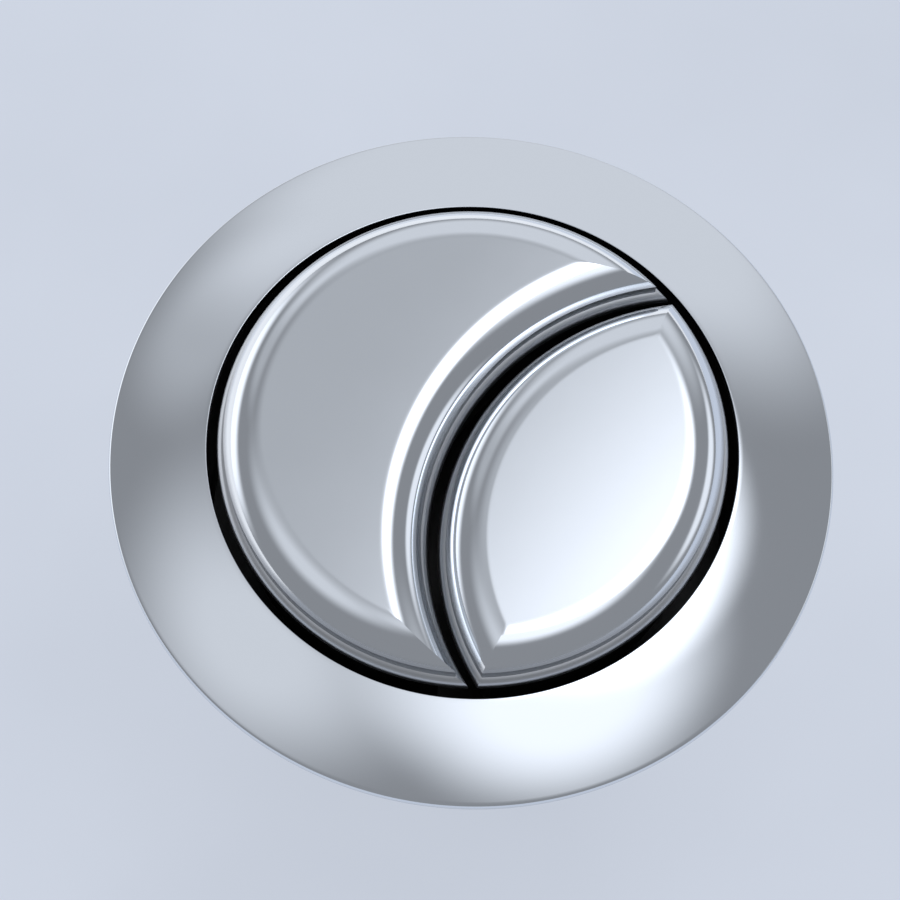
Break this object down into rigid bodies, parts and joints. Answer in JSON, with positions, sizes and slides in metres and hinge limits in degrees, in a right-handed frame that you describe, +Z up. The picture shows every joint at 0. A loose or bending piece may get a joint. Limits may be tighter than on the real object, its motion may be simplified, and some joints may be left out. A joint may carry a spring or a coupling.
{
  "type": "dual flush cistern push button",
  "caption": "Round chrome push button for a cistern lid: a crescent cap and a lens-shaped cap ride on sprung plungers with push rods, in a threaded barrel clamped by a ring nut.",
  "frame": {"origin": "on the barrel's axis, at the lid's top face where the gasket and the escutcheon's rim sit", "axes": "+Z up out of the lid, -Z into the cistern, +X to the half-flush cap; the part is symmetric about XZ but for its spring coils"},
  "size_m": [0.073, 0.073, 0.0692],
  "materials": {
    "chrome_plate": "bright chrome plating on moulded plastic",
    "black_moulding": "black moulded plastic, fine satin",
    "white_moulding": "natural white acetal, smooth",
    "grey_moulding": "grey moulded polypropylene",
    "black_rubber": "matt rubber",
    "stainless": "drawn and zinc-bright steel"
  },
  "bodies": {
    "housing": {"escutcheon": "chrome_plate", "threaded_barrel": "black_moulding", "lid_gasket": "black_rubber", "nut_washer": "black_rubber", "ring_nut": "grey_moulding", "full_flush_return_spring": "stainless", "half_flush_return_spring": "stainless"},
    "full_flush_button": {"full_flush_cap": "chrome_plate", "full_flush_plunger": "black_moulding", "full_flush_cap_screws": "stainless", "full_flush_retaining_clip": "stainless", "full_flush_push_rod": "white_moulding", "full_flush_lock_nut": "grey_moulding", "full_flush_push_foot": "white_moulding"},
    "half_flush_button": {"half_flush_cap": "chrome_plate", "half_flush_plunger": "black_moulding", "half_flush_cap_screws": "stainless", "half_flush_retaining_clip": "stainless", "half_flush_push_rod": "white_moulding", "half_flush_lock_nut": "grey_moulding", "half_flush_push_foot": "white_moulding"}
  },
  "joints": [
    {"name": "full_flush_press", "type": "slide", "parent": "housing", "child": "full_flush_button", "axis": [0, 0, -1], "range_m": [0, 0.00465], "stiffness_N_per_m": 450, "springref_m": -0.0065, "deforming": ["full_flush_return_spring"]},
    {"name": "half_flush_press", "type": "slide", "parent": "housing", "child": "half_flush_button", "axis": [0, 0, -1], "range_m": [0, 0.00465], "stiffness_N_per_m": 450, "springref_m": -0.0065, "deforming": ["half_flush_return_spring"]}
  ]
}
